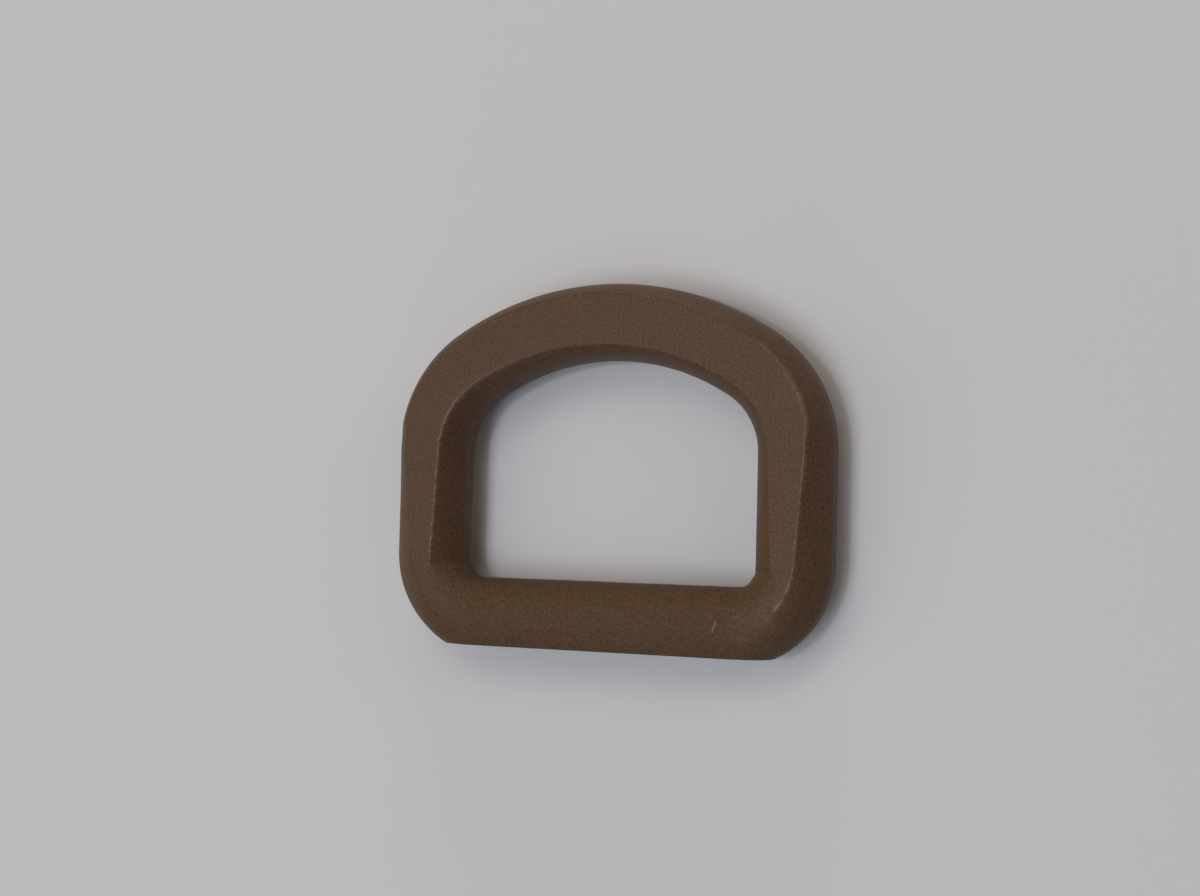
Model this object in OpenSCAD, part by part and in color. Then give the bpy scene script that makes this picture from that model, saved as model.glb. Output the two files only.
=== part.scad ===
// A plastic D ring for 25 mm webbing, moulded in one piece. The ring lies flat
// on the floor: the round bar runs along x, the arch points towards +y and the
// thickness stands along z. The origin is under the middle of its outline.

/* [Outline] */
// Width over the two arms
ring_w = 39; // [36:0.1:42]
// Depth from the flat side of the bar to the top of the arch
ring_d = 30.7; // [29:0.1:34]
// Thickness between the two flat faces
ring_t = 6.2; // [5:0.1:7]
// Height above the bar's flat side at which the arms turn into the arch
shoulder_d = 16.6; // [15:0.1:18]
// Radius of the outside shoulders
shoulder_r = 11.9; // [10:0.1:12.5]
// Radius of the two outside corners at the bar
corner_r = 8.6; // [7.5:0.1:9.5]

/* [Opening] */
// Width between the arms, half way up the thickness
opening_w = 26.3; // [25.5:0.1:27]
// Depth from the bar to the inside of the arch
opening_d = 18.6; // [17.5:0.1:19.5]
// Radius of the inside shoulders
opening_shoulder_r = 5.5; // [4.5:0.1:6.5]
// Radius of the two inside corners at the bar
opening_corner_r = 1.4; // [1:0.1:2]

/* [Bar] */
// Depth of the bar from its flat side to the opening
bar_d = 5.7; // [5:0.1:6.2]
// How deep the flat side is cut into the round of the bar
bar_flat = 0.8; // [0.2:0.05:1.2]

/* [Walls] */
// Height of the upright strip round the middle of the walls
strip_t = 1.3; // [0.8:0.1:2]
// Width of the inside slope at the top of the arch
inner_slope_top = 1.05; // [0.8:0.05:1.4]
// Width of the inside slope where the arms meet the arch
inner_slope_shoulder = 1.45; // [1.2:0.05:1.7]
// Width of the inside slope at the foot of the arms
inner_slope_foot = 2; // [1.8:0.05:2.3]
// Width of the outside slope at the top of the arch
outer_slope_top = 1.05; // [0.8:0.05:1.4]
// Width of the outside slope over the shoulders of the arch
outer_slope_arch = 1.35; // [1:0.05:1.5]
// Width of the outside slope where the arms meet the arch
outer_slope_shoulder = 1.7; // [1.5:0.05:2]
// Width of the outside slope at the foot of the arms
outer_slope_foot = 2.45; // [2.2:0.05:2.7]
// How far the slopes belly out between the strip and the faces
slope_bulge = 0.19; // [0:0.01:0.3]
// Rounding of the edges between the flat faces and the slopes
edge_r = 0.3; // [0.1:0.05:0.5]

/* [Hidden] */
// Steps round one corner, up one arm and along half of the arch
corner_steps = 15;
arm_steps = 3;
arch_angles = [3, 6, 8, 10, 12, 15, 19, 23, 27, 31, 35, 39, 43, 47, 51, 55, 59,
               62, 65, 68, 71, 74, 77, 80, 83, 86, 90];
// Where the rounding of the slopes is stepped, in degrees of the bar's round
slope_steps = [0, 13, 26, 39, 51];
rounding_steps = [58, 62, 67];
face_steps = [76, 90];

foot_y = -ring_d / 2;
bar_y = foot_y + bar_d;
shoulder_y = foot_y + shoulder_d;
half_t = ring_t / 2;
half_strip = strip_t / 2;
outer_corner = [ring_w / 2 - corner_r, foot_y - bar_flat + corner_r];
inner_corner = [opening_w / 2 - opening_corner_r, bar_y + opening_corner_r];

// 0 before the first value, 1 after the second, an even ramp between them
function ramp(v, from, to) = min(1, max(0, (v - from) / (to - from)));
function ease(v, from, to) = let (s = ramp(v, from, to)) s * s * (3 - 2 * s);
function mix(a, b, s) = a + (b - a) * s;
function turn(r, angle) = [r * cos(angle), r * sin(angle)];
// Point of the curve that leaves a towards b and comes to c from there
function bend(a, b, c, s) = mix(mix(a, b, s), mix(b, c, s), s);

// Radius of the wide arc over the top, which runs smoothly out of a shoulder
function top_r(half_w, apex, r) =
    let (a = half_w - r, b = shoulder_y - apex)
    (r * r - a * a - b * b) / (2 * (b + r));

// Point of an arch curve where its wall faces the given angle
function arch_point(half_w, apex, r, angle) =
    let (big = top_r(half_w, apex, r), low = apex - big)
    angle < atan2(shoulder_y - low, half_w - r)
        ? [half_w - r, shoulder_y] + turn(r, angle)
        : [0, low] + turn(big, angle);

// A station holds the two wall points, the widths of the two slopes, and how
// far each side has its slope (1) instead of the round of the bar (0)
function corner_station(angle) =
    let (inner = inner_corner + turn(opening_corner_r, angle),
         outer = outer_corner + turn(corner_r, angle),
         half_band = norm(outer - inner) / 2)
    [inner, outer,
     mix(inner_slope_foot, half_band - 0.1, -angle / 90),
     mix(outer_slope_foot, half_band - 0.1, -angle / 90),
     ease(angle, -24, 0), ease(angle, -75, -20)];

function arm_station(s) =
    [[opening_w / 2, mix(inner_corner.y, shoulder_y, s)],
     [ring_w / 2, mix(outer_corner.y, shoulder_y, s)],
     mix(inner_slope_foot, inner_slope_shoulder, s),
     mix(outer_slope_foot, outer_slope_shoulder, s), 1, 1];

function arch_station(angle) =
    [arch_point(opening_w / 2, bar_y + opening_d, opening_shoulder_r, angle),
     arch_point(ring_w / 2, ring_d / 2, shoulder_r, angle),
     mix(inner_slope_shoulder, inner_slope_top, ramp(angle, 0, 80)),
     mix(outer_slope_shoulder, mix(outer_slope_arch, outer_slope_top, ramp(angle, 13, 90)),
         ease(angle, 4, 13)), 1, 1];

right_half = [
    for (k = [0:corner_steps]) corner_station(-90 + 90 * k / corner_steps),
    for (k = [1:arm_steps]) arm_station(k / arm_steps),
    for (angle = arch_angles) arch_station(angle)
];

// A quarter of the round of the bar, and the same steps along slope and face
function round_point(half_band, t) =
    [half_band * (1 - cos(t)), half_strip + (half_t - half_strip) * sin(t)];

function sloped_quarter(half_band, slope) =
    let (rise = half_t - half_strip,
         run = norm([slope, rise]),
         foot = [0, half_strip],
         edge = [slope, half_t],
         belly = (foot + edge) / 2 + [-rise, slope] * 2 * slope_bulge / run,
         tilt = atan2(edge.y - belly.y, edge.x - belly.x),
         reach = edge_r * tan(tilt / 2),
         end = 1 - reach / run,
         low = bend(foot, belly, edge, end),
         high = edge + [reach, 0])
    [for (t = slope_steps) bend(foot, belly, edge, end * t / 58),
     low, bend(low, edge, high, 0.5), high,
     for (t = face_steps) mix(high, [half_band, half_t], ramp(t, 67, 90))];

function quarter(half_band, slope, share) =
    let (steps = concat(slope_steps, rounding_steps, face_steps),
         flat = sloped_quarter(half_band, slope))
    [for (k = [0:len(steps) - 1]) mix(round_point(half_band, steps[k]), flat[k], share)];

// The upper half of a section, from the opening outwards
function upper(station) =
    let (band = norm(station[1] - station[0]),
         inner = quarter(band / 2, station[2], station[4]),
         outer = quarter(band / 2, station[3], station[5]))
    concat(inner, [for (k = [len(outer) - 2:-1:0]) [band - outer[k].x, outer[k].y]]);

function section(station) =
    let (half = upper(station),
         n = len(half),
         whole = concat(half, [for (k = [n - 1:-1:0]) [half[k].x, -half[k].y]]),
         out = (station[1] - station[0]) / norm(station[1] - station[0]))
    [for (p = whole) let (q = station[0] + out * p.x) [q.x, q.y, half_t + p.y]];

module swept() {
    right = [for (s = right_half) section(s)];
    left = [for (k = [len(right) - 2:-1:0]) [for (p = right[k]) [-p.x, p.y, p.z]]];
    rings = concat(right, left);
    count = len(rings);
    size = len(rings[0]);
    polyhedron(
        points = [for (r = rings) each r],
        faces = [
            for (i = [0:count - 1], j = [0:size - 1])
                let (a = i * size, b = (i + 1) % count * size, k = (j + 1) % size)
                each [[a + j, b + j, b + k], [a + j, b + k, a + k]]
        ],
        convexity = 4);
}

module ring() {
    color([0.33, 0.26, 0.2])
    intersection() {
        swept();
        translate([-ring_w, foot_y, -1]) cube([2 * ring_w, ring_d + 2, ring_t + 2]);
    }
}

ring();
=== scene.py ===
"""The looks of a plastic D ring for 25 mm webbing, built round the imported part.

The ring is one moulding. Its section is swept once round the D by a geometry node tree, which
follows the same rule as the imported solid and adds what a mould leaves: rounded edges, the fine
line where the mould halves met and the small stub of the gate. The frame gives the overall
size, and the other sizes are named below. All lengths are in metres and all angles in degrees,
unless a docstring says otherwise. The ring lies on its back: the bar runs along x, the arch
points towards +y and the thickness stands along z.
"""

import logging
import math
from dataclasses import dataclass, fields
from enum import Enum
from itertools import accumulate, pairwise
from types import SimpleNamespace
from typing import Any, Mapping, Optional, Union

import bpy
from mathutils import Matrix, Vector


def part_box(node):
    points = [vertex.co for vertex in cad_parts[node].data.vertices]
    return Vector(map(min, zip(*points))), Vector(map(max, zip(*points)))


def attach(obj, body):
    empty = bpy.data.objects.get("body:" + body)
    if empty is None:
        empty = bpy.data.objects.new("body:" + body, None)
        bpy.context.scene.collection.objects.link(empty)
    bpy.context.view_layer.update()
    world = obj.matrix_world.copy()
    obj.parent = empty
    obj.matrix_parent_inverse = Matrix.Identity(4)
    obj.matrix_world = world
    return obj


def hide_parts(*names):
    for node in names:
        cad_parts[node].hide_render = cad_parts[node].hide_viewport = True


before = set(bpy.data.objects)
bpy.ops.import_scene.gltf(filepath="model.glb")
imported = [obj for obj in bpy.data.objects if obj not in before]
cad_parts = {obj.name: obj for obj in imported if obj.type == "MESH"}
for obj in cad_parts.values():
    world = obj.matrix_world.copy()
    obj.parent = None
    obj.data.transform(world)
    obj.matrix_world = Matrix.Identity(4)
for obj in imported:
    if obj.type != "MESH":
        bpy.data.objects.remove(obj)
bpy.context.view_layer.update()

LOG = logging.getLogger("d_ring")
MM = 0.001
QUARTER_TURN = math.pi / 2

Number = Union[float, "Value"]
Pair = tuple[float, float]
Place = tuple[float, float, float]
Colour = tuple[float, float, float]
Socket = bpy.types.NodeSocket


class Value:
    """A number that varies over a surface, held by one socket of a node tree."""

    def __init__(self, graph: "Graph", socket: Socket) -> None:
        """Wraps an output socket.

        Args:
            graph: The tree that the socket belongs to.
            socket: The output socket that carries the number.
        """
        self.graph = graph
        self.socket = socket

    def __add__(self, other: Number) -> "Value":
        """The sum of two numbers."""
        return self.graph.math("ADD", self, other)

    def __radd__(self, other: Number) -> "Value":
        """The sum, with the plain number first."""
        return self.graph.math("ADD", other, self)

    def __sub__(self, other: Number) -> "Value":
        """The difference of two numbers."""
        return self.graph.math("SUBTRACT", self, other)

    def __rsub__(self, other: Number) -> "Value":
        """The difference, with the plain number first."""
        return self.graph.math("SUBTRACT", other, self)

    def __mul__(self, other: Number) -> "Value":
        """The product of two numbers."""
        return self.graph.math("MULTIPLY", self, other)

    def __rmul__(self, other: Number) -> "Value":
        """The product, with the plain number first."""
        return self.graph.math("MULTIPLY", other, self)

    def __truediv__(self, other: Number) -> "Value":
        """The quotient of two numbers."""
        return self.graph.math("DIVIDE", self, other)

    def __rtruediv__(self, other: Number) -> "Value":
        """The quotient, with the plain number first."""
        return self.graph.math("DIVIDE", other, self)

    def __pow__(self, other: Number) -> "Value":
        """This number raised to a power."""
        return self.graph.math("POWER", self, other)

    def __lt__(self, other: Number) -> "Value":
        """1 where this number is the smaller one, 0 elsewhere."""
        return self.graph.math("LESS_THAN", self, other)


@dataclass(frozen=True)
class Point:
    """A point or an arrow in a plane, whose two parts are plain or varying numbers."""

    x: Number
    y: Number

    def __add__(self, other: "Point") -> "Point":
        """This point moved by another."""
        return Point(self.x + other.x, self.y + other.y)

    def __sub__(self, other: "Point") -> "Point":
        """The arrow from another point to this one."""
        return Point(self.x - other.x, self.y - other.y)

    def __mul__(self, share: Number) -> "Point":
        """This arrow made longer or shorter."""
        return Point(self.x * share, self.y * share)


class Graph:
    """A node tree in the making, of a material or of a geometry modifier."""

    def __init__(self, tree: bpy.types.NodeTree) -> None:
        """Wraps an empty tree.

        Args:
            tree: The tree that takes the nodes.
        """
        self.tree = tree

    def node(
        self,
        kind: str,
        settings: Optional[Mapping[str, Any]] = None,
        sockets: Optional[Mapping[Union[str, int], Any]] = None,
    ) -> bpy.types.Node:
        """Adds a node, sets it and fills its inputs.

        Args:
            kind: The node's type.
            settings: Its properties, which are set first.
            sockets: Plain values or links, by the input's name or number.

        Returns:
            The new node.
        """
        node = self.tree.nodes.new(kind)
        for name, value in (settings or {}).items():
            setattr(node, name, value)
        for key, value in (sockets or {}).items():
            socket = self._input(node, key)
            source = value.socket if isinstance(value, Value) else value
            if isinstance(source, Socket):
                self.tree.links.new(source, socket)
            else:
                socket.default_value = source
        return node

    @staticmethod
    def _input(node: bpy.types.Node, key: Union[str, int]) -> Socket:
        """Finds an input of a node.

        Args:
            node: The node.
            key: The input's number, or the name that it has among the inputs in use.

        Returns:
            The input.
        """
        if isinstance(key, int):
            return node.inputs[key]
        return next(socket for socket in node.inputs if socket.name == key and socket.enabled)

    def value(self, node: bpy.types.Node, name: Union[str, int] = 0) -> Value:
        """A node's output as a number to reckon with."""
        return Value(self, node.outputs[name])

    def pipe(
        self, mesh: Socket, kind: str, sockets: Optional[Mapping[Union[str, int], Any]] = None
    ) -> Socket:
        """Sends a mesh through one more node.

        Args:
            mesh: The socket that the mesh comes from.
            kind: The type of the node, which takes the mesh in by its first input.
            sockets: Plain values or links for its other inputs.

        Returns:
            The socket that the changed mesh comes from.
        """
        return self.node(kind, None, {0: mesh, **(sockets or {})}).outputs[0]

    def math(self, operation: str, *terms: Number) -> Value:
        """Adds one Math node.

        Args:
            operation: What the node does with its terms.
            terms: One to three plain or varying numbers.

        Returns:
            The result.
        """
        sockets = dict(enumerate(terms))
        return self.value(self.node("ShaderNodeMath", {"operation": operation}, sockets))

    def ramp(self, value: Number, start: Number, end: Number, smooth: bool = False) -> Value:
        """0 before the start, 1 after the end, and a way up between them.

        Args:
            value: The number that decides.
            start: Where the way up begins.
            end: Where it is over.
            smooth: Whether it eases in and out.

        Returns:
            A share from 0 to 1.
        """
        settings = {"interpolation_type": "SMOOTHSTEP" if smooth else "LINEAR"}
        sockets = {"Value": value, "From Min": start, "From Max": end}
        return self.value(self.node("ShaderNodeMapRange", settings, sockets))

    def turn(self, radius: Number, angle: Value) -> Point:
        """The arrow of this length that points at this angle, in radians."""
        return Point(self.math("COSINE", angle) * radius, self.math("SINE", angle) * radius)

    def length(self, arrow: Point) -> Value:
        """How long an arrow is."""
        return self.math("SQRT", arrow.x * arrow.x + arrow.y * arrow.y)

    def noise(self, place: Socket, size: float, detail: float = 2.0) -> Value:
        """A soft random pattern from 0 to 1, the same on each run.

        Args:
            place: The vector that it is read at.
            size: How far apart its blotches are.
            detail: How many finer layers it has.

        Returns:
            The pattern's strength.
        """
        sockets = {"Vector": place, "Scale": 1 / size, "Detail": detail}
        return self.value(self.node("ShaderNodeTexNoise", None, sockets), "Fac")

    def scale(self, arrow: Socket, share: Value) -> Socket:
        """An arrow or a colour with all its parts times the same number."""
        sockets = {0: arrow, "Scale": share}
        return self.node("ShaderNodeVectorMath", {"operation": "SCALE"}, sockets).outputs[0]

    def blend(
        self, share: Number, low: Union[Colour, Socket], high: Union[Colour, Socket]
    ) -> Socket:
        """Mixes two colours.

        Args:
            share: How much of the second colour shows.
            low: The first colour, plain or linked.
            high: The second colour, plain or linked.

        Returns:
            The socket that carries the mixed colour.
        """
        colours = [(*c, 1.0) if isinstance(c, tuple) else c for c in (low, high)]
        sockets = {"Factor": share, "A": colours[0], "B": colours[1]}
        node = self.node("ShaderNodeMix", {"data_type": "RGBA"}, sockets)
        return next(socket for socket in node.outputs if socket.enabled)


def mix(low: Number, high: Number, share: Number) -> Number:
    """The number that lies between two others, by its share of the way."""
    return low + (high - low) * share


@dataclass(frozen=True)
class RingSizes:
    """The ring's driving sizes, each an input of its node tree.

    The first three come from the frame.
    """

    width: float
    depth: float
    thickness: float
    shoulder_depth: float = 16.6 * MM
    shoulder_radius: float = 11.9 * MM
    corner_radius: float = 8.6 * MM
    opening_width: float = 26.3 * MM
    opening_depth: float = 18.6 * MM
    opening_shoulder_radius: float = 5.5 * MM
    opening_corner_radius: float = 1.4 * MM
    bar_depth: float = 5.7 * MM
    bar_flat: float = 0.8 * MM
    bar_flat_rounding: float = 0.1 * MM
    strip_height: float = 1.3 * MM
    inner_slope_top: float = 1.05 * MM
    inner_slope_shoulder: float = 1.45 * MM
    inner_slope_foot: float = 2.0 * MM
    outer_slope_top: float = 1.05 * MM
    outer_slope_arch: float = 1.35 * MM
    outer_slope_shoulder: float = 1.7 * MM
    outer_slope_foot: float = 2.45 * MM
    face_left_at_corner: float = 0.1 * MM
    slope_bulge: float = 0.19 * MM
    edge_radius: float = 0.3 * MM
    strip_edge_reach: float = 0.2 * MM
    parting_line_height: float = 0.035 * MM
    parting_line_width: float = 0.09 * MM
    waviness: float = 0.012 * MM
    gate_stub_height: float = 0.16 * MM
    gate_stub_radius: float = 0.32 * MM
    gate_stub_x: float = -6.75 * MM

    @classmethod
    def from_frame(cls, node: str) -> "RingSizes":
        """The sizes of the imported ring.

        Args:
            node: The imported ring's name.

        Returns:
            The sizes, with the overall ones read from the frame.
        """
        low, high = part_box(node)
        span = high - low
        return cls(width=span.x, depth=span.y, thickness=span.z)


@dataclass(frozen=True)
class SweepSteps:
    """How finely the section and its way round the D are divided."""

    stations: int = 640
    strip: int = 4
    strip_edge: int = 4
    slope: int = 9
    crease: int = 8
    face: int = 12

    @property
    def marks(self) -> list[int]:
        """The steps at which the parts of a quarter begin and end."""
        parts = (0, self.strip, self.strip_edge, self.slope, self.crease, self.face)
        return list(accumulate(parts))

    @property
    def quarter(self) -> int:
        """Steps from the middle of a wall to the middle of a face."""
        return self.marks[-1]

    @property
    def section(self) -> int:
        """Steps once round the section."""
        return 4 * self.quarter


class RingMark(Enum):
    """What the sweep notes on the ring's points for its finish to read."""

    CREASE = "crease"
    BAR = "bar"


@dataclass(frozen=True)
class Station:
    """One place along the right half of the D.

    Attributes:
        inner: The foot of the wall towards the opening, seen from above.
        outer: The foot of the wall on the outside, seen from above.
        inner_slope: The width of the slope towards the opening.
        outer_slope: The width of the slope on the outside.
        inner_share: How far the inner side has its slope instead of the round of the bar.
        outer_share: How far the outer side has its slope instead of that round.
        bar_share: How far the station belongs to the bar.
    """

    inner: Point
    outer: Point
    inner_slope: Value
    outer_slope: Value
    inner_share: Value
    outer_share: Value
    bar_share: Value


@dataclass(frozen=True)
class Spot:
    """One point of the swept surface.

    Attributes:
        plan: Where it lies on the right half of the D, seen from above.
        up: How high it lies above the middle of the thickness.
        side: 1 for the right half of the D, -1 for the left half.
        outwards: The arrow of length 1 that leaves its wall there, seen from above.
        marks: What is noted of it for the finish.
    """

    plan: Point
    up: Value
    side: Value
    outwards: Point
    marks: Mapping[RingMark, Value]


class RingSweep:
    """The node tree that sweeps the ring's section round the D."""

    # Angles of the bar's round at which the slope ends and the face begins and ends
    SLOPE_END = 58.0
    FACE_START = 67.0
    FACE_END = 90.0
    # Angles round a corner between which the slopes rise out of the round bar
    INNER_RISE = (-24.0, 0.0)
    OUTER_RISE = (-75.0, -20.0)
    # Angles of the arch between which its slopes change width
    INNER_NARROWS = (0.0, 80.0)
    SHOULDER_NARROWS = (4.0, 13.0)
    TOP_NARROWS = (13.0, 90.0)
    # Where a shoulder's arc hands over to the wide arc, for spacing the stations
    HANDOVER = 59.2
    TOP_RADIUS = 23.6 * MM
    # How far from its edge a crease is still noted
    CREASE_REACH = 0.5 * MM
    # Points closer than this become one, where the sweep meets its own start
    MERGE = 0.002 * MM
    # The lengths of the surface's waves and of the uneven stretches of the parting line
    WAVE = 4.0 * MM
    FLASH_WAVE = 1.1 * MM
    # Where the parting line's pattern is lowest and highest, and its least height as a share
    FLASH_LIMITS = (0.35, 0.65)
    FLASH_LEAST = 0.3
    # How much of the gate stub's radius its flat top takes up
    STUB_TOP = 0.5

    def __init__(self, sizes: RingSizes, steps: SweepSteps) -> None:
        """Makes the tree and its inputs.

        Args:
            sizes: The ring's driving sizes.
            steps: How finely it is divided.
        """
        self.sizes = sizes
        self.steps = steps
        self.tree = bpy.data.node_groups.new("ring_sweep", "GeometryNodeTree")
        self.graph = Graph(self.tree)
        self.sockets: dict[str, str] = {}
        self.inputs = self._make_inputs()
        self.foot = self.inputs.depth * -0.5
        self.bar_top = self.foot + self.inputs.bar_depth
        self.shoulder = self.foot + self.inputs.shoulder_depth

    def _make_inputs(self) -> SimpleNamespace:
        """Gives the tree one named input for each size.

        Returns:
            The sizes as varying numbers, by their names.
        """
        interface = self.tree.interface
        interface.new_socket("Geometry", in_out="OUTPUT", socket_type="NodeSocketGeometry")
        for size in fields(self.sizes):
            label = size.name.replace("_", " ").capitalize()
            item = interface.new_socket(label, in_out="INPUT", socket_type="NodeSocketFloat")
            self.sockets[size.name] = item.identifier
        entry = self.graph.node("NodeGroupInput")
        values = {name: self.graph.value(entry, n) for n, name in enumerate(self.sockets)}
        return SimpleNamespace(**values)

    def _spacing(self) -> list[float]:
        """How the stations are shared out along half of the D.

        Returns:
            The shares of the way at which the bar, the corner, the arm and the shoulder end.
        """
        sizes = self.sizes
        handover = math.radians(self.HANDOVER)
        bar = sizes.opening_width / 2 - sizes.opening_corner_radius
        corner = (sizes.corner_radius + sizes.opening_corner_radius) / 2 * QUARTER_TURN
        arm = sizes.shoulder_depth - sizes.bar_depth - sizes.opening_corner_radius
        shoulder = (sizes.shoulder_radius + sizes.opening_shoulder_radius) / 2 * handover
        top = self.TOP_RADIUS * (QUARTER_TURN - handover)
        *ends, total = accumulate((bar, corner, arm, shoulder, top))
        return [end / total for end in ends]

    def _arch_point(self, half: Value, apex: Value, radius: Value, angle: Value) -> Point:
        """The point of an arch curve where its wall faces the given angle.

        Args:
            half: Half the width of the curve.
            apex: How far along y its top lies.
            radius: The radius of its shoulder.
            angle: The way that the wall faces, in radians.

        Returns:
            A point on the shoulder's arc or on the wide arc that follows it.
        """
        graph = self.graph
        side = half - radius
        rise = self.shoulder - apex
        wide = (radius * radius - side * side - rise * rise) / ((rise + radius) * 2)
        low = apex - wide
        handover = graph.math("ARCTAN2", self.shoulder - low, side)
        on_shoulder = angle < handover
        shoulder = Point(side, self.shoulder) + graph.turn(radius, angle)
        top = Point(0.0, low) + graph.turn(wide, angle)
        return top + (shoulder - top) * on_shoulder

    def _foot_point(
        self, centre: Point, radius: Value, along_bar: Value, up_arm: Value, angle: Value
    ) -> Point:
        """A wall's point along the bar, round the corner and up the arm.

        Args:
            centre: The middle of the corner's arc.
            radius: The radius of that arc.
            along_bar: The share of the bar that is behind.
            up_arm: The share of the arm that is behind.
            angle: The way that the wall faces, in radians.

        Returns:
            The wall's point.
        """
        moved = Point(centre.x * along_bar, mix(centre.y, self.shoulder, up_arm))
        return moved + self.graph.turn(radius, angle)

    def _between(self, angle: Value, limits: Pair, smooth: bool = False) -> Value:
        """The share of the way between two angles.

        Args:
            angle: The angle that decides, in radians.
            limits: The two angles, in degrees.
            smooth: Whether the share eases in and out.

        Returns:
            A share from 0 to 1.
        """
        return self.graph.ramp(angle, *(math.radians(limit) for limit in limits), smooth=smooth)

    def _station(self, way: Value) -> Station:
        """Works out the walls at a place along one half of the D.

        Args:
            way: How far along it lies, 0 at the middle of the bar and 1 at the top of the arch.

        Returns:
            The walls and slopes there.
        """
        graph, size = self.graph, self.inputs
        handover = math.radians(self.HANDOVER)
        bar_end, corner_end, arm_end, shoulder_end = self._spacing()
        along_bar = graph.ramp(way, 0.0, bar_end)
        turned = graph.ramp(way, bar_end, corner_end)
        up_arm = graph.ramp(way, corner_end, arm_end)
        over_shoulder = graph.ramp(way, arm_end, shoulder_end)
        over_top = graph.ramp(way, shoulder_end, 1.0)
        corner_angle = (turned - 1.0) * QUARTER_TURN
        arch_angle = over_shoulder * handover + over_top * (QUARTER_TURN - handover)
        on_arch = graph.math("GREATER_THAN", way, arm_end)

        inner_foot = Point(size.opening_width * 0.5 - size.opening_corner_radius,
                           self.bar_top + size.opening_corner_radius)
        outer_foot = Point(size.width * 0.5 - size.corner_radius,
                           self.foot - size.bar_flat + size.corner_radius)
        inner_low = self._foot_point(inner_foot, size.opening_corner_radius,
                                     along_bar, up_arm, corner_angle)
        outer_low = self._foot_point(outer_foot, size.corner_radius,
                                     along_bar, up_arm, corner_angle)
        inner_high = self._arch_point(size.opening_width * 0.5, self.bar_top + size.opening_depth,
                                      size.opening_shoulder_radius, arch_angle)
        outer_high = self._arch_point(size.width * 0.5, size.depth * 0.5,
                                      size.shoulder_radius, arch_angle)
        inner = inner_low + (inner_high - inner_low) * on_arch
        outer = outer_low + (outer_high - outer_low) * on_arch

        at_bar = 1.0 - turned
        round_slope = graph.length(outer - inner) * 0.5 - size.face_left_at_corner
        inner_arm = mix(size.inner_slope_foot, size.inner_slope_shoulder, up_arm)
        outer_arm = mix(size.outer_slope_foot, size.outer_slope_shoulder, up_arm)
        inner_arch = mix(size.inner_slope_shoulder, size.inner_slope_top,
                         self._between(arch_angle, self.INNER_NARROWS))
        outer_over = mix(size.outer_slope_arch, size.outer_slope_top,
                         self._between(arch_angle, self.TOP_NARROWS))
        outer_arch = mix(size.outer_slope_shoulder, outer_over,
                         self._between(arch_angle, self.SHOULDER_NARROWS, smooth=True))
        return Station(
            inner=inner,
            outer=outer,
            inner_slope=mix(mix(inner_arm, round_slope, at_bar), inner_arch, on_arch),
            outer_slope=mix(mix(outer_arm, round_slope, at_bar), outer_arch, on_arch),
            inner_share=self._between(corner_angle, self.INNER_RISE, smooth=True),
            outer_share=self._between(corner_angle, self.OUTER_RISE, smooth=True),
            bar_share=at_bar)

    @staticmethod
    def _bend(start: Point, corner: Point, end: Point, share: Value) -> Point:
        """How far a curve that cuts a corner has come from its start.

        Args:
            start: Where the curve starts, heading for the corner.
            corner: The corner that it cuts.
            end: Where it ends, coming from the corner's direction.
            share: The share of the curve that is behind.

        Returns:
            The arrow from the start to the point reached.
        """
        to_corner = (corner - start) * (share * (1.0 - share) * 2)
        return to_corner + (end - start) * (share * share)

    def _round_point(
        self, half_band: Value, rise: Value, low: Value, shares: tuple[Value, ...]
    ) -> Point:
        """The section's point on the round of the bar.

        Args:
            half_band: Half the width of the section.
            rise: The height of the round above the strip.
            low: The height of the upright strip above the middle.
            shares: The shares of strip, strip edge, slope, crease and face that are behind.

        Returns:
            The point, measured from the wall and from the middle of the thickness.
        """
        strip, strip_edge, sloping, crease, facing = shares
        reach = self.inputs.strip_edge_reach
        angle = (sloping * self.SLOPE_END + crease * (self.FACE_START - self.SLOPE_END)
                 + facing * (self.FACE_END - self.FACE_START)) * math.radians(1.0)
        turned = self.graph.turn(1.0, angle)
        base = (low - reach) * strip + reach * strip_edge
        return Point((1.0 - turned.x) * half_band, base + rise * turned.y)

    def _sloped_point(
        self, half_band: Value, slope: Value, rise: Value, low: Value, shares: tuple[Value, ...]
    ) -> Point:
        """The section's point along strip, slope, rounded crease and face.

        Args:
            half_band: Half the width of the section.
            slope: The width of the slope.
            rise: The height of the slope.
            low: The height of the upright strip above the middle.
            shares: The shares of strip, strip edge, slope, crease and face that are behind.

        Returns:
            The point, measured from the wall and from the middle of the thickness.
        """
        graph, size = self.graph, self.inputs
        strip, strip_edge, sloping, crease, facing = shares
        run = graph.length(Point(slope, rise))
        foot, edge = Point(0.0, low), Point(slope, low + rise)
        lift = size.slope_bulge * 2.0 / run
        belly = foot + Point(slope * 0.5 - rise * lift, rise * 0.5 + slope * lift)
        tilt = graph.math("ARCTAN2", edge.y - belly.y, edge.x - belly.x)
        reach = size.edge_radius * graph.math("TANGENT", tilt * 0.5)
        starts, ends = size.strip_edge_reach / run, 1.0 - reach / run
        slope_start = self._bend(foot, belly, edge, starts)
        slope_end = self._bend(foot, belly, edge, ends)
        slope_now = self._bend(foot, belly, edge, mix(starts, ends, sloping))
        face_start = edge + Point(reach, 0.0)
        face_end = Point(half_band, low + rise)
        strip_top = Point(0.0, low - size.strip_edge_reach)
        return (strip_top * strip
                + self._bend(strip_top, foot, foot + slope_start, strip_edge)
                + (slope_now - slope_start)
                + self._bend(foot + slope_end, edge, face_start, crease)
                + (face_end - face_start) * facing)

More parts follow.
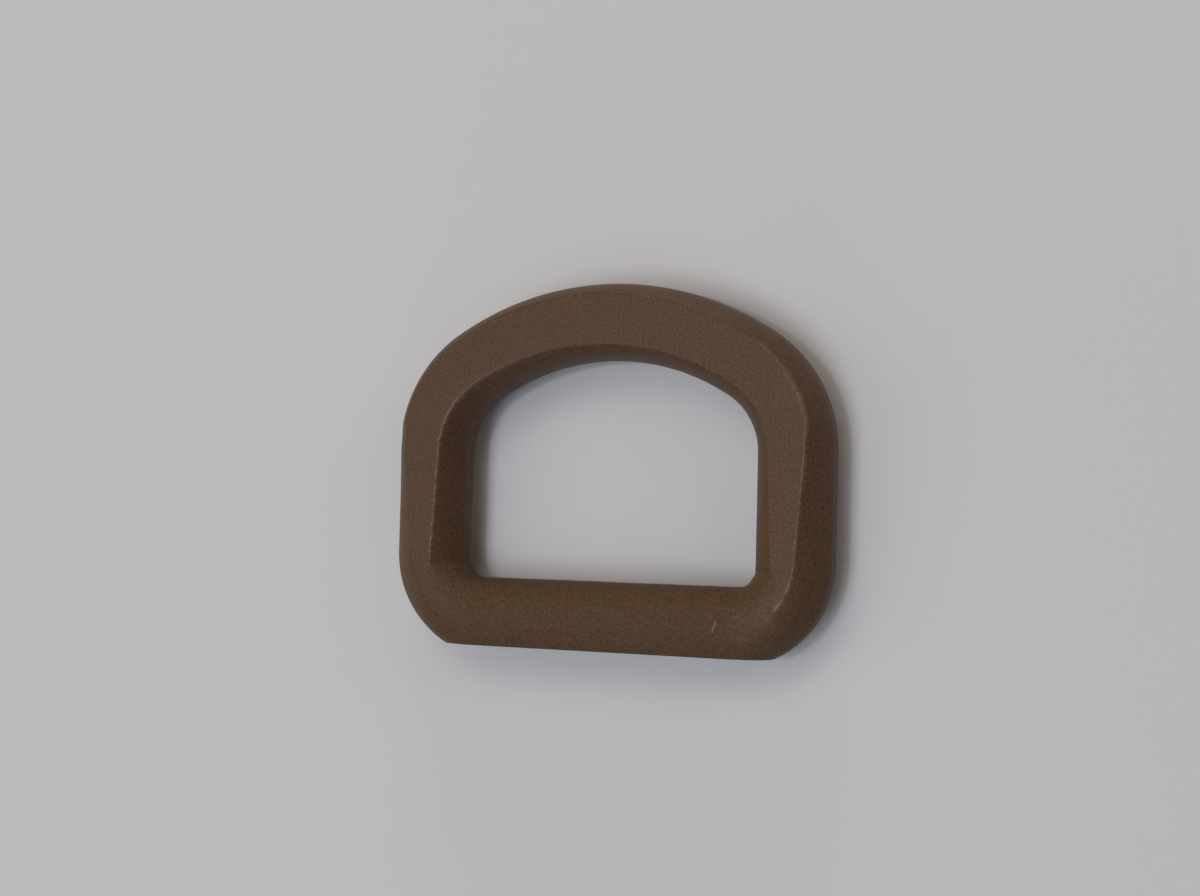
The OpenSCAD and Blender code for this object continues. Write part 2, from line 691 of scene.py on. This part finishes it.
    def _spot(self, column: Value, row: Value) -> Spot:
        """Works out one point of the sweep.

        Args:
            column: Its place round the D, counted in stations from the top of the arch.
            row: Its place round the section, counted in steps from the inner wall.

        Returns:
            The point and what is noted of it.
        """
        graph, size, steps = self.graph, self.inputs, self.steps
        way = column * (2.0 / steps.stations) - 1.0
        station = self._station(graph.math("ABSOLUTE", way))

        # The row counts once round the section, the step once along a quarter of it
        crossed = graph.math("MINIMUM", row, steps.section - row)
        step = graph.math("MINIMUM", crossed, 2 * steps.quarter - crossed)
        inside = crossed < steps.quarter
        above = row < 2 * steps.quarter
        slope = mix(station.outer_slope, station.inner_slope, inside)
        share = mix(station.outer_share, station.inner_share, inside)
        across = station.outer - station.inner
        band = graph.length(across)
        low = size.strip_height * 0.5
        rise = (size.thickness - size.strip_height) * 0.5
        shares = tuple(graph.ramp(step, start, end) for start, end in pairwise(steps.marks))
        rounded = self._round_point(band * 0.5, rise, low, shares)
        sloped = self._sloped_point(band * 0.5, slope, rise, low, shares)
        point = rounded + (sloped - rounded) * share

        away = 1.0 - inside * 2
        unit = Point(across.x / band, across.y / band)
        distance = graph.length(point - Point(slope, low + rise))
        near_crease = 1.0 - graph.ramp(distance, 0.0, self.CREASE_REACH, smooth=True)
        return Spot(
            plan=station.inner + unit * (band * (1.0 - inside) - point.x * away),
            up=point.y * (above * 2 - 1.0),
            side=graph.math("SIGN", way),
            outwards=unit * away,
            marks={
                RingMark.CREASE: near_crease * share,
                RingMark.BAR: station.bar_share,
            })

    def _gate_stub(self, spot: Spot) -> Value:
        """How far the stub of the gate stands out of the bar's flat side.

        Args:
            spot: A point of the swept surface.

        Returns:
            The stub's height at that point.
        """
        graph, size = self.graph, self.inputs
        away = graph.length(Point(spot.plan.x * spot.side - size.gate_stub_x, spot.up))
        radius = size.gate_stub_radius
        height = 1.0 - graph.ramp(away, radius * self.STUB_TOP, radius, smooth=True)
        at_foot = spot.plan.y < self.foot + size.bar_flat_rounding
        return height * at_foot * size.gate_stub_height

    def _relief(self, spot: Spot) -> Socket:
        """What the mould leaves on the swept surface.

        The mould's halves meet half way up the walls and leave a fine, uneven line.

        Args:
            spot: A point of the swept surface.

        Returns:
            The arrow by which the parting line, the gate's stub and the waves move the point.
        """
        graph, size = self.graph, self.inputs
        place = graph.node("GeometryNodeInputPosition").outputs[0]
        normal = graph.node("GeometryNodeInputNormal").outputs[0]
        flash = graph.ramp(graph.noise(place, self.FLASH_WAVE), *self.FLASH_LIMITS)
        line = graph.math("EXPONENT", (spot.up / size.parting_line_width) ** 2.0 * -1.0)
        ridge = line * size.parting_line_height * mix(self.FLASH_LEAST, 1.0, flash)
        wave = (graph.noise(place, self.WAVE, detail=1.0) - 0.5) * size.waviness
        moulded = graph.node("ShaderNodeCombineXYZ", None, {
            "X": spot.outwards.x * spot.side * ridge,
            "Y": spot.outwards.y * ridge - self._gate_stub(spot)})
        both = {0: graph.scale(normal, wave), 1: moulded.outputs[0]}
        return graph.node("ShaderNodeVectorMath", {"operation": "ADD"}, both).outputs[0]

    def build(self, material: bpy.types.Material) -> bpy.types.NodeTree:
        """Fills the tree.

        Args:
            material: The finish that the swept mesh gets.

        Returns:
            The finished tree.
        """
        graph, size, steps = self.graph, self.inputs, self.steps
        grid = graph.node("GeometryNodeMeshGrid", None, {
            "Vertices X": steps.stations + 1, "Vertices Y": steps.section + 1})
        index = graph.value(graph.node("GeometryNodeInputIndex"))
        column = graph.math("FLOOR", index / (steps.section + 1))
        spot = self._spot(column, index - column * (steps.section + 1))
        flat_y = graph.math("SMOOTH_MAX", spot.plan.y, self.foot, size.bar_flat_rounding)
        position = graph.node("ShaderNodeCombineXYZ", None, {
            "X": spot.plan.x * spot.side, "Y": flat_y, "Z": spot.up + size.thickness * 0.5})

        mesh = grid.outputs["Mesh"]
        mesh = graph.pipe(mesh, "GeometryNodeSetPosition", {"Position": position.outputs[0]})
        for mark, note in spot.marks.items():
            named = {"Name": mark.value, "Value": note}
            mesh = graph.pipe(mesh, "GeometryNodeStoreNamedAttribute", named)
        mesh = graph.pipe(mesh, "GeometryNodeSetPosition", {"Offset": self._relief(spot)})
        mesh = graph.pipe(mesh, "GeometryNodeMergeByDistance", {"Distance": self.MERGE})
        mesh = graph.pipe(mesh, "GeometryNodeFlipFaces")
        mesh = graph.pipe(mesh, "GeometryNodeSetShadeSmooth")
        mesh = graph.pipe(mesh, "GeometryNodeRealizeInstances")
        mesh = graph.pipe(mesh, "GeometryNodeSetMaterial", {"Material": material})
        graph.node("NodeGroupOutput", None, {"Geometry": mesh})
        return self.tree


class WearAndSheen(Enum):
    """How much use the ring shows, as the strength of its rubbed specks and of its pale spots,
    which are scuffs and painted sheen.
    """

    NEW = 0.0
    HANDLED = 0.45
    WORN = 0.9


@dataclass(frozen=True)
class PaleSpot:
    """A spot painted lighter, used both for scuffs and for painted sheen.

    Attributes:
        place: The middle of the spot.
        reach: How far it spreads before it has faded out.
        on_crease: How pale the creases are painted in its middle, as a share.
        on_face: How pale the rest of the surface is painted in its middle, as a share.
    """

    place: Place
    reach: float
    on_crease: float
    on_face: float


@dataclass(frozen=True)
class MouldedPlastic:
    """The finish of a dull brown moulded plastic with a fine grain.

    Names that end in "limits" give the strengths of a pattern or a mark between which the
    thing named grows from nothing to full.
    """

    name: str = "moulded_plastic"
    wear: WearAndSheen = WearAndSheen.HANDLED

    # The body's two tones in blotches and mottle, and the fine flecks over both
    brown: Colour = (0.1199, 0.0574, 0.0279)
    olive: Colour = (0.0948, 0.0580, 0.0257)
    blotch: float = 3.0 * MM
    mottle: float = 0.45 * MM
    blotch_share: float = 0.25
    more_olive_on_bar: float = 0.05
    olive_limits: Pair = (0.34, 0.66)
    fleck: float = 0.2 * MM
    fleck_spread: float = 1.7

    # The moulded grain, with a second and finer layer, and the gloss
    grain: float = 0.16 * MM
    grain_height: float = 0.012 * MM
    times_finer: float = 2.6
    fine_share: float = 0.35
    roughness: float = 0.52
    bar_roughness: float = 0.68
    roughness_spread: float = 0.08
    specular: float = 0.31

    # The creases that face +x: polished in patches, and painted pale there as a painted highlight
    # of the lamp
    polished_roughness: float = 0.26
    polish_crease_limits: Pair = (0.5, 0.9)
    polish_patch_limits: Pair = (0.38, 0.58)
    highlight_facing_limits: Pair = (0.0, 0.04)
    highlight_lost_sideways: float = 0.6
    painted_highlight_paleness: float = 0.24

    # The specks that use has rubbed pale in broken stretches of the creases, and the pale spots,
    # which are scuffs, painted sheen and painted crease highlights; one pale colour paints them all
    rubbed: Colour = (0.27, 0.215, 0.16)
    speck: float = 0.26 * MM
    speck_limits: Pair = (0.56, 0.7)
    stretch: float = 1.3 * MM
    stretch_limits: Pair = (0.45, 0.7)
    scuffs: tuple[PaleSpot, ...] = (
        # The three spots round the lower right corner are painted sheen; the two on the upper
        # creases are partly wear, partly a painted crease highlight
        PaleSpot((16.4 * MM, -9.9 * MM, 6.15 * MM), 1.9 * MM, 0.35, 0.3),
        PaleSpot((15.3 * MM, -11.6 * MM, 6.1 * MM), 2.3 * MM, 0.0, 0.34),
        PaleSpot((13.4 * MM, -12.7 * MM, 6.0 * MM), 2.6 * MM, 0.0, 0.26),
        PaleSpot((-11.2 * MM, 6.9 * MM, 6.2 * MM), 7.0 * MM, 0.5, 0.0),
        PaleSpot((16.9 * MM, 6.6 * MM, 6.2 * MM), 2.6 * MM, 0.6, 0.15),
    )
    spot_core: float = 0.3
    spot_between_specks: float = 0.4

    # The one short scratch, on top of the bar only
    nick: Pair = (10.72 * MM, -12.33 * MM)
    nick_run: Pair = (-0.25 * MM, -0.81 * MM)
    nick_width: float = 0.13 * MM
    nick_lowest: float = 4.0 * MM
    nick_paleness: float = 0.6

    def material(self) -> bpy.types.Material:
        """Makes the material.

        Returns:
            The finished material.
        """
        made = bpy.data.materials.new(self.name)
        made.use_nodes = True
        made.node_tree.nodes.clear()
        graph = Graph(made.node_tree)
        spot = graph.node("ShaderNodeTexCoord")
        place = spot.outputs["Object"]
        crease = self._mark(graph, RingMark.CREASE)
        bar = self._mark(graph, RingMark.BAR)
        polish_and_highlight = self._polish_and_highlight(graph, place, spot.outputs["Normal"], crease)
        # Pale from wear and painted sheen spots, plus a painted highlight along the polished
        # creases that face +x
        wear_and_highlight = self._wear_and_sheen(graph, place, crease) + polish_and_highlight * self.painted_highlight_paleness
        grain = graph.noise(place, self.grain)
        fine = graph.noise(place, self.grain / self.times_finer, detail=1.0)
        dull = mix(self.roughness, self.bar_roughness, bar)
        roughness = mix(dull, self.polished_roughness, polish_and_highlight)
        bump = graph.node("ShaderNodeBump", None, {
            "Strength": 1.0, "Distance": self.grain_height,
            "Height": mix(grain, fine, self.fine_share)})
        shader = graph.node("ShaderNodeBsdfPrincipled", None, {
            "Base Color": graph.blend(wear_and_highlight, self._body(graph, place, bar), self.rubbed),
            "Roughness": (grain - 0.5) * self.roughness_spread + roughness,
            "Specular IOR Level": self.specular,
            "Normal": bump.outputs[0]})
        graph.node("ShaderNodeOutputMaterial", None, {"Surface": shader.outputs[0]})
        return made

    @staticmethod
    def _mark(graph: Graph, mark: RingMark) -> Value:
        """What the sweep noted on the ring's points."""
        node = graph.node("ShaderNodeAttribute", {"attribute_name": mark.value})
        return graph.value(node, "Fac")

    def _body(self, graph: Graph, place: Socket, bar: Value) -> Socket:
        """The colour of the plastic where nothing has rubbed it.

        Args:
            graph: The material's tree.
            place: Where the patterns are read.
            bar: How far a spot belongs to the bar.

        Returns:
            The socket that carries the colour.
        """
        blotch = graph.noise(place, self.blotch)
        mottle = graph.noise(place, self.mottle, detail=3.0)
        tone = mix(mottle, blotch, self.blotch_share) + bar * self.more_olive_on_bar
        colour = graph.blend(graph.ramp(tone, *self.olive_limits), self.brown, self.olive)
        fleck = (graph.noise(place, self.fleck, detail=3.0) - 0.5) * self.fleck_spread + 1.0
        return graph.scale(colour, fleck)

    def _polish_and_highlight(self, graph: Graph, place: Socket, normal: Socket, crease: Value) -> Value:
        """How far a spot is polished, the same share that paints a pale highlight on creases that
        face +x.

        Args:
            graph: The material's tree.
            place: Where the patches are read.
            normal: The way that the surface faces.
            crease: How near a crease is.

        Returns:
            A share from 0 to 1.
        """
        # Only creases that face +x, which catch the lamp's reflection, get the polish and the
        # painted highlight
        facing = graph.node("ShaderNodeSeparateXYZ", None, {0: normal})
        sideways = graph.math("ABSOLUTE", graph.value(facing, "Y")) * self.highlight_lost_sideways
        toward_highlight = graph.ramp(
            graph.value(facing, "X") - sideways, *self.highlight_facing_limits, smooth=True)
        patchy = graph.ramp(graph.noise(place, self.mottle), *self.polish_patch_limits)
        return graph.ramp(crease, *self.polish_crease_limits, smooth=True) * toward_highlight * patchy

    def _wear_and_sheen(self, graph: Graph, place: Socket, crease: Value) -> Value:
        """How pale the plastic is painted by worn specks, by pale spots and by the scratch; the
        pale spots are scuffs and painted sheen.

        Args:
            graph: The material's tree.
            place: Where the patterns are read.
            crease: How near a crease is.

        Returns:
            A share from 0 to 1.
        """
        specks = graph.ramp(graph.noise(place, self.speck, detail=1.0), *self.speck_limits)
        stretches = graph.ramp(graph.noise(place, self.stretch, detail=3.0), *self.stretch_limits)
        wear_and_highlight = crease * stretches * specks
        for pale_spot in self.scuffs:
            away = graph.value(graph.node("ShaderNodeVectorMath", {"operation": "DISTANCE"}, {
                0: place, 1: pale_spot.place}), "Value")
            near = graph.ramp(away, pale_spot.reach, pale_spot.reach * self.spot_core, smooth=True)
            rubbed = near * (crease * pale_spot.on_crease + pale_spot.on_face)
            wear_and_highlight = wear_and_highlight + rubbed * mix(self.spot_between_specks, 1.0, specks)
        return graph.math("MAXIMUM", wear_and_highlight * self.wear.value, self._nicked(graph, place))

    def _nicked(self, graph: Graph, place: Socket) -> Value:
        """How rubbed the plastic is by the one short scratch across the bar.

        Args:
            graph: The material's tree.
            place: Where the spot lies.

        Returns:
            A share from 0 to 1.
        """
        split = graph.node("ShaderNodeSeparateXYZ", None, {0: place})
        here = Point(graph.value(split, "X"), graph.value(split, "Y")) - Point(*self.nick)
        run = Point(*self.nick_run)
        share = (here.x * run.x + here.y * run.y) / (run.x * run.x + run.y * run.y)
        aside = graph.length(here - run * graph.ramp(share, 0.0, 1.0))
        below = graph.value(split, "Z") < self.nick_lowest
        return graph.ramp(aside, self.nick_width, 0.0) * (1.0 - below) * self.nick_paleness


@dataclass(frozen=True)
class DRing:
    """The one moulded piece of the part."""

    node: str = "ring"
    body: str = "root"
    slot: str = "ring_plastic"
    piece_name: str = "moulded_ring"
    steps: SweepSteps = SweepSteps()
    finish: MouldedPlastic = MouldedPlastic()

    def build(self) -> bpy.types.Object:
        """Sweeps the ring, makes it a plain mesh and hands it to the frame.

        Returns:
            The finished piece.
        """
        sizes = RingSizes.from_frame(self.node)
        sweep = RingSweep(sizes, self.steps)
        material = self.finish.material()
        piece = bpy.data.objects.new(self.piece_name, bpy.data.meshes.new(self.piece_name))
        bpy.context.scene.collection.objects.link(piece)
        modifier = piece.modifiers.new("sweep", "NODES")
        modifier.node_group = sweep.build(material)
        for name, identifier in sweep.sockets.items():
            modifier[identifier] = getattr(sizes, name)
        evaluated = piece.evaluated_get(bpy.context.evaluated_depsgraph_get())
        piece.data = bpy.data.meshes.new_from_object(evaluated)
        piece.modifiers.clear()
        piece.data.materials.clear()
        piece.data.materials.append(material)
        piece.data.polygons.foreach_set("material_index", [0] * len(piece.data.polygons))
        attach(piece, self.body)
        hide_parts(self.node)
        return piece


def direction(azimuth: float, elevation: float) -> Vector:
    """The arrow towards a place in the sky.

    Args:
        azimuth: The angle from +x towards +y.
        elevation: The angle above the floor.

    Returns:
        An arrow of length 1.
    """
    round_z, up = math.radians(azimuth), math.radians(elevation)
    level = math.cos(up)
    return Vector((math.cos(round_z) * level, math.sin(round_z) * level, math.sin(up)))


@dataclass(frozen=True)
class SoftBox:
    """A round studio light that faces the ring.

    Attributes:
        name: The light's name.
        azimuth: Where it hangs, as the angle from +x towards +y.
        elevation: Where it hangs, as the angle above the floor.
        spread: How wide an angle it fills, seen from the ring.
        power: Its power in watts.
        colour: The colour of its light.
        distance: How far from the ring it hangs.
    """

    name: str
    azimuth: float
    elevation: float
    spread: float
    power: float
    colour: Colour
    distance: float = 0.8

    def build(self) -> bpy.types.Object:
        """Hangs the light.

        Returns:
            The light's object.
        """
        light = bpy.data.lights.new(self.name, "AREA")
        light.shape = "DISK"
        light.size = 2 * self.distance * math.tan(math.radians(self.spread / 2))
        light.energy = self.power
        light.color = self.colour
        lamp = bpy.data.objects.new(self.name, light)
        back = direction(self.azimuth, self.elevation)
        lamp.location = back * self.distance
        lamp.rotation_mode = "QUATERNION"
        lamp.rotation_quaternion = (-back).to_track_quat("-Z", "Y")
        bpy.context.scene.collection.objects.link(lamp)
        return lamp


@dataclass(frozen=True)
class Studio:
    """The pale floor, the soft lights and the camera."""

    floor_size: float = 1.6
    floor_drop: float = 0.01 * MM
    floor_colour: Colour = (0.775, 0.785, 0.805)
    floor_roughness: float = 0.9
    ambient_colour: Colour = (1.0, 0.99, 0.98)
    ambient_strength: float = 0.004
    target: Place = (-0.96 * MM, 1.58 * MM, 3.1 * MM)
    camera_azimuth: float = -6.66
    camera_elevation: float = 67.12
    camera_distance: float = 151.4 * MM
    camera_roll: float = 1.6
    camera_range: Pair = (0.01, 10.0)
    lens_mm: float = 54.0
    sensor_mm: float = 36.0
    lights: tuple[SoftBox, ...] = (
        SoftBox("ceiling_lamp", 180.0, 84.2, 4.0, 0.52, (0.87, 0.92, 1.0)),
        SoftBox("shaded_lamp", 180.0, 76.0, 12.0, 0.32, (0.95, 0.95, 1.0)),
        SoftBox("skylight", 240.0, 72.0, 24.0, 1.08, (0.88, 0.91, 1.0)),
        SoftBox("front_window", 270.0, 58.0, 30.0, 0.29, (0.9, 0.95, 1.0)),
        SoftBox("back_window", 90.0, 58.0, 30.0, 0.743, (1.0, 0.93, 0.87)),
        SoftBox("left_back_window", 135.0, 58.0, 30.0, 0.442, (1.0, 0.83, 0.72)),
        SoftBox("left_front_window", 225.0, 58.0, 30.0, 0.121, (0.54, 0.78, 1.0)),
        SoftBox("left_wall", 180.0, 40.0, 34.0, 0.627, (1.0, 0.98, 0.88)),
        SoftBox("left_front_wall", 225.0, 22.0, 34.0, 0.277, (1.0, 0.92, 0.65)),
        SoftBox("right_front_wall", 315.0, 40.0, 34.0, 0.255, (0.97, 0.96, 1.0)),
        SoftBox("right_back_wall", 30.0, 30.0, 30.0, 0.585, (1.0, 0.79, 0.65)),
        SoftBox("low_back_wall", 90.0, 9.0, 18.0, 1.2, (1.0, 0.9, 0.76)),
        SoftBox("low_left_wall", 180.0, 9.0, 18.0, 0.32, (1.0, 0.64, 0.2)),
        SoftBox("low_front_wall", 270.0, 9.0, 18.0, 0.4, (0.7, 0.76, 1.0)),
    )

    def build(self) -> None:
        """Sets the stage."""
        self._floor()
        self._ambient()
        for light in self.lights:
            lamp = light.build()
            LOG.info("light %s", lamp.name)
        self._camera()
        bpy.context.scene.view_settings.view_transform = "Standard"

    def _floor(self) -> None:
        """Lays the plain floor just under the ring."""
        half = self.floor_size / 2
        ways = ((-1, -1), (1, -1), (1, 1), (-1, 1))
        corners = [(x * half, y * half, -self.floor_drop) for x, y in ways]
        mesh = bpy.data.meshes.new("floor")
        mesh.from_pydata(corners, [], [(0, 1, 2, 3)])
        material = bpy.data.materials.new("pale_floor")
        material.use_nodes = True
        shader = material.node_tree.nodes["Principled BSDF"]
        shader.inputs["Base Color"].default_value = (*self.floor_colour, 1.0)
        shader.inputs["Roughness"].default_value = self.floor_roughness
        mesh.materials.append(material)
        floor = bpy.data.objects.new("floor", mesh)
        bpy.context.scene.collection.objects.link(floor)

    def _ambient(self) -> None:
        """Fills the room with even light."""
        world = bpy.data.worlds.new("room")
        world.use_nodes = True
        background = world.node_tree.nodes["Background"]
        background.inputs["Color"].default_value = (*self.ambient_colour, 1.0)
        background.inputs["Strength"].default_value = self.ambient_strength
        bpy.context.scene.world = world

    def _camera(self) -> None:
        """Hangs the camera high up and points it at the ring."""
        data = bpy.data.cameras.new("camera")
        data.sensor_width = self.sensor_mm
        data.lens = self.lens_mm
        data.clip_start, data.clip_end = self.camera_range
        back = direction(self.camera_azimuth, self.camera_elevation)
        right = Vector((0.0, 1.0, 0.0)).cross(back).normalized()
        up = back.cross(right)
        level = Matrix((right, up, back)).transposed()
        rolled = level @ Matrix.Rotation(math.radians(self.camera_roll), 3, "Z")
        place = Vector(self.target) + back * self.camera_distance
        camera = bpy.data.objects.new("camera", data)
        camera.matrix_world = Matrix.Translation(place) @ rolled.to_4x4()
        bpy.context.scene.collection.objects.link(camera)
        bpy.context.scene.camera = camera


def main() -> None:
    """Builds the ring and its stage."""
    logging.basicConfig(level=logging.INFO, format="%(name)s: %(message)s")
    ring = DRing().build()
    LOG.info("%s: %d points, %d faces", ring.name, len(ring.data.vertices), len(ring.data.polygons))
    Studio().build()


if __name__ == "__main__":
    main()
